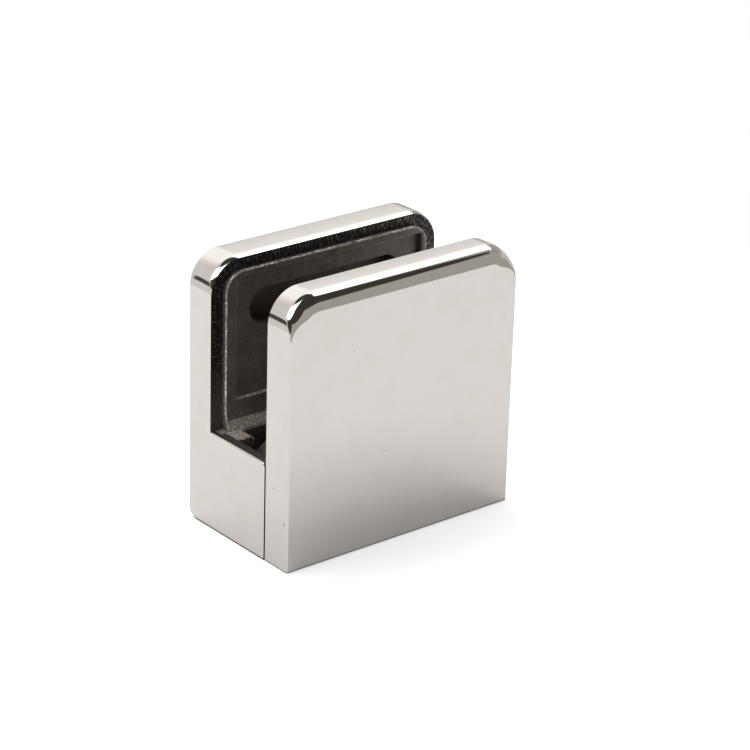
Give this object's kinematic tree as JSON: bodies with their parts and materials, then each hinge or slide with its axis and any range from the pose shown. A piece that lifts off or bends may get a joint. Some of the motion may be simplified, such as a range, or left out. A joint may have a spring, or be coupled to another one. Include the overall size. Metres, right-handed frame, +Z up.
{
  "type": "glass panel clamp",
  "caption": "Square two-part clamp that grips the lower edge of a glass panel and bolts down through its flat base, with socket screws at the rear.",
  "frame": {"origin": "centre of the flat mounting face at the bottom", "axes": "+X along the glass to the right as seen from the cover, +Y from the cover face to the rear face, +Z up out of the mounting face"},
  "size_m": [0.052, 0.03, 0.052],
  "materials": {
    "polished_casting": "mirror polished outside, as cast inside",
    "polished_cover": "mirror polished outside, as cast inside",
    "screw_steel": "turned and lightly oiled"
  },
  "bodies": {
    "rear": {"rear_body": "polished_casting"},
    "cover": {"front_cover": "polished_cover"},
    "left_screw": {"clamp_screw_left": "screw_steel"},
    "right_screw": {"clamp_screw_right": "screw_steel"}
  },
  "joints": [
    {"name": "cover_slide", "type": "slide", "parent": "rear", "child": "cover", "axis": [0, -1, 0], "range_m": [-0.0003, 0.003]},
    {"name": "left_screw_turn", "type": "hinge", "parent": "rear", "child": "left_screw", "pos_m": [-0.0156, 0.0087, 0.0114], "axis": [0, 1, 0], "range_deg": [-110, 1085]},
    {"name": "right_screw_turn", "type": "hinge", "parent": "rear", "child": "right_screw", "pos_m": [0.0156, 0.0087, 0.0114], "axis": [0, 1, 0], "range_deg": [-110, 1085]}
  ],
  "couplings": [
    {"joint": "left_screw_turn", "follows": "cover_slide", "rad_per_m": 6283.2},
    {"joint": "right_screw_turn", "follows": "cover_slide", "rad_per_m": 6283.2}
  ]
}
